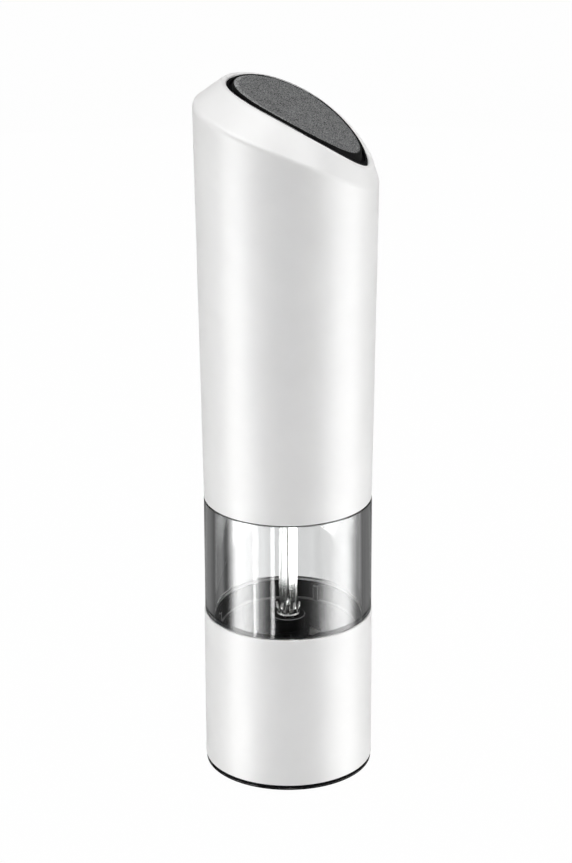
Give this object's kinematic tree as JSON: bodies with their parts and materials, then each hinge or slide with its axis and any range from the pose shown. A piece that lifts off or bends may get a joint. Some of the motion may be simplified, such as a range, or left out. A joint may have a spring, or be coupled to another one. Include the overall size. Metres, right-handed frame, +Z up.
{
  "type": "pepper mill",
  "caption": "White battery pepper mill with a slanted top, dark push button, clear container and ceramic grinder",
  "frame": {"origin": "on the mill's axis, where the foot ring meets the table", "axes": "+Z up along the mill's axis, +X the way the slanted top falls, +Y to the back of the picture's view"},
  "size_m": [0.055, 0.0552, 0.2186],
  "materials": {
    "white_satin": "satin",
    "black_plastic": "fine matte",
    "soft_grey": "soft-touch, fine grain",
    "clear_acrylic": "clear, polished",
    "bright_steel": "drawn, bright",
    "spring_steel": "plain",
    "motor_steel": "zinc plated",
    "ceramic_white": "fired, matte",
    "brass_strip": "plain",
    "gear_plastic": "natural",
    "cell_jacket": "printed film, plain",
    "seal_rubber": "matte"
  },
  "bodies": {
    "base": {"base_cover": "black_plastic", "collar_sleeve": "white_satin", "container": "clear_acrylic", "insert_ring": "black_plastic", "grinder_floor": "black_plastic", "hub_bush": "black_plastic", "burr_case": "black_plastic", "outer_burr": "ceramic_white", "burr_retainer": "black_plastic", "retainer_screws": "spring_steel", "burr_spring": "spring_steel"},
    "knob": {"adjust_knob": "black_plastic"},
    "thrust": {"thrust_cup": "gear_plastic"},
    "rotor": {"drive_shaft": "bright_steel", "inner_burr": "ceramic_white", "star_washer": "bright_steel"},
    "motor_unit": {"head_plug": "black_plastic", "seal_ring": "seal_rubber", "gear_case": "gear_plastic", "case_screws": "spring_steel", "motor_plate": "motor_steel", "motor_can": "motor_steel", "motor_end_cap": "black_plastic", "motor_terminals": "brass_strip", "motor_leads": "brass_strip", "battery_carrier": "black_plastic", "batteries": "cell_jacket", "lower_contacts": "brass_strip", "upper_contacts": "brass_strip", "contact_cover": "black_plastic", "cover_screws": "spring_steel", "switch_body": "black_plastic"},
    "output": {"output_carrier": "gear_plastic"},
    "upper": {"upper_carrier": "gear_plastic"},
    "motor_rotor": {"motor_shaft": "spring_steel", "motor_pinion": "brass_strip"},
    "plunger": {"switch_plunger": "gear_plastic"},
    "housing": {"housing_shell": "white_satin", "button_well": "black_plastic", "well_screws": "spring_steel", "button_spring": "spring_steel"},
    "button": {"button_pad": "soft_grey", "button_carrier": "black_plastic"},
    "low_wheel_1": {"low_planet_1": "gear_plastic"},
    "low_wheel_2": {"low_planet_2": "gear_plastic"},
    "low_wheel_3": {"low_planet_3": "gear_plastic"},
    "high_wheel_1": {"high_planet_1": "gear_plastic"},
    "high_wheel_2": {"high_planet_2": "gear_plastic"},
    "high_wheel_3": {"high_planet_3": "gear_plastic"}
  },
  "joints": [
    {"name": "knob_turn", "type": "hinge", "parent": "base", "child": "knob", "pos_m": [0, 0, 0.005], "axis": [0, 0, 1], "range_deg": [0, 270]},
    {"name": "thrust_lift", "type": "slide", "parent": "base", "child": "thrust", "axis": [0, 0, 1], "range_m": [0, 0.0008], "deforming": ["burr_spring"]},
    {"name": "rotor_spin", "type": "hinge", "parent": "thrust", "child": "rotor", "pos_m": [0, 0, 0.05], "axis": [0, 0, 1], "continuous": true},
    {"name": "head_lift", "type": "slide", "parent": "base", "child": "motor_unit", "axis": [0, 0, 1], "range_m": [0, 0.06]},
    {"name": "output_spin", "type": "hinge", "parent": "motor_unit", "child": "output", "pos_m": [0, 0, 0.1], "axis": [0, 0, 1], "continuous": true},
    {"name": "upper_spin", "type": "hinge", "parent": "motor_unit", "child": "upper", "pos_m": [0, 0, 0.109], "axis": [0, 0, 1], "continuous": true},
    {"name": "motor_spin", "type": "hinge", "parent": "motor_unit", "child": "motor_rotor", "pos_m": [0, 0, 0.113], "axis": [0, 0, 1], "continuous": true},
    {"name": "plunger_press", "type": "slide", "parent": "motor_unit", "child": "plunger", "axis": [0, 0, -1], "range_m": [0, 0.0016]},
    {"name": "housing_lift", "type": "slide", "parent": "motor_unit", "child": "housing", "axis": [0, 0, 1], "range_m": [0, 0.1]},
    {"name": "button_press", "type": "slide", "parent": "housing", "child": "button", "axis": [0, 0, -1], "range_m": [0, 0.0016], "stiffness_N_per_m": 350, "springref_m": -0.002, "deforming": ["button_spring"]},
    {"name": "low_wheel_1_spin", "type": "hinge", "parent": "output", "child": "low_wheel_1", "pos_m": [0.0075, 0, 0.1048], "axis": [0, 0, 1], "continuous": true},
    {"name": "low_wheel_2_spin", "type": "hinge", "parent": "output", "child": "low_wheel_2", "pos_m": [-0.00375, 0.0065, 0.1048], "axis": [0, 0, 1], "continuous": true},
    {"name": "low_wheel_3_spin", "type": "hinge", "parent": "output", "child": "low_wheel_3", "pos_m": [-0.00375, -0.0065, 0.1048], "axis": [0, 0, 1], "continuous": true},
    {"name": "high_wheel_1_spin", "type": "hinge", "parent": "upper", "child": "high_wheel_1", "pos_m": [0.0075, 0, 0.113], "axis": [0, 0, 1], "continuous": true},
    {"name": "high_wheel_2_spin", "type": "hinge", "parent": "upper", "child": "high_wheel_2", "pos_m": [-0.00375, 0.0065, 0.113], "axis": [0, 0, 1], "continuous": true},
    {"name": "high_wheel_3_spin", "type": "hinge", "parent": "upper", "child": "high_wheel_3", "pos_m": [-0.00375, -0.0065, 0.113], "axis": [0, 0, 1], "continuous": true}
  ],
  "couplings": [
    {"joint": "knob_turn", "follows": "thrust_lift", "rad_per_m": 5890.5},
    {"joint": "output_spin", "follows": "rotor_spin", "ratio": 1},
    {"joint": "upper_spin", "follows": "rotor_spin", "ratio": 5},
    {"joint": "motor_spin", "follows": "rotor_spin", "ratio": 25},
    {"joint": "plunger_press", "follows": "button_press", "ratio": 1},
    {"joint": "low_wheel_1_spin", "follows": "rotor_spin", "ratio": -2.6667},
    {"joint": "low_wheel_2_spin", "follows": "rotor_spin", "ratio": -2.6667},
    {"joint": "low_wheel_3_spin", "follows": "rotor_spin", "ratio": -2.6667},
    {"joint": "high_wheel_1_spin", "follows": "rotor_spin", "ratio": -13.333},
    {"joint": "high_wheel_2_spin", "follows": "rotor_spin", "ratio": -13.333},
    {"joint": "high_wheel_3_spin", "follows": "rotor_spin", "ratio": -13.333}
  ]
}
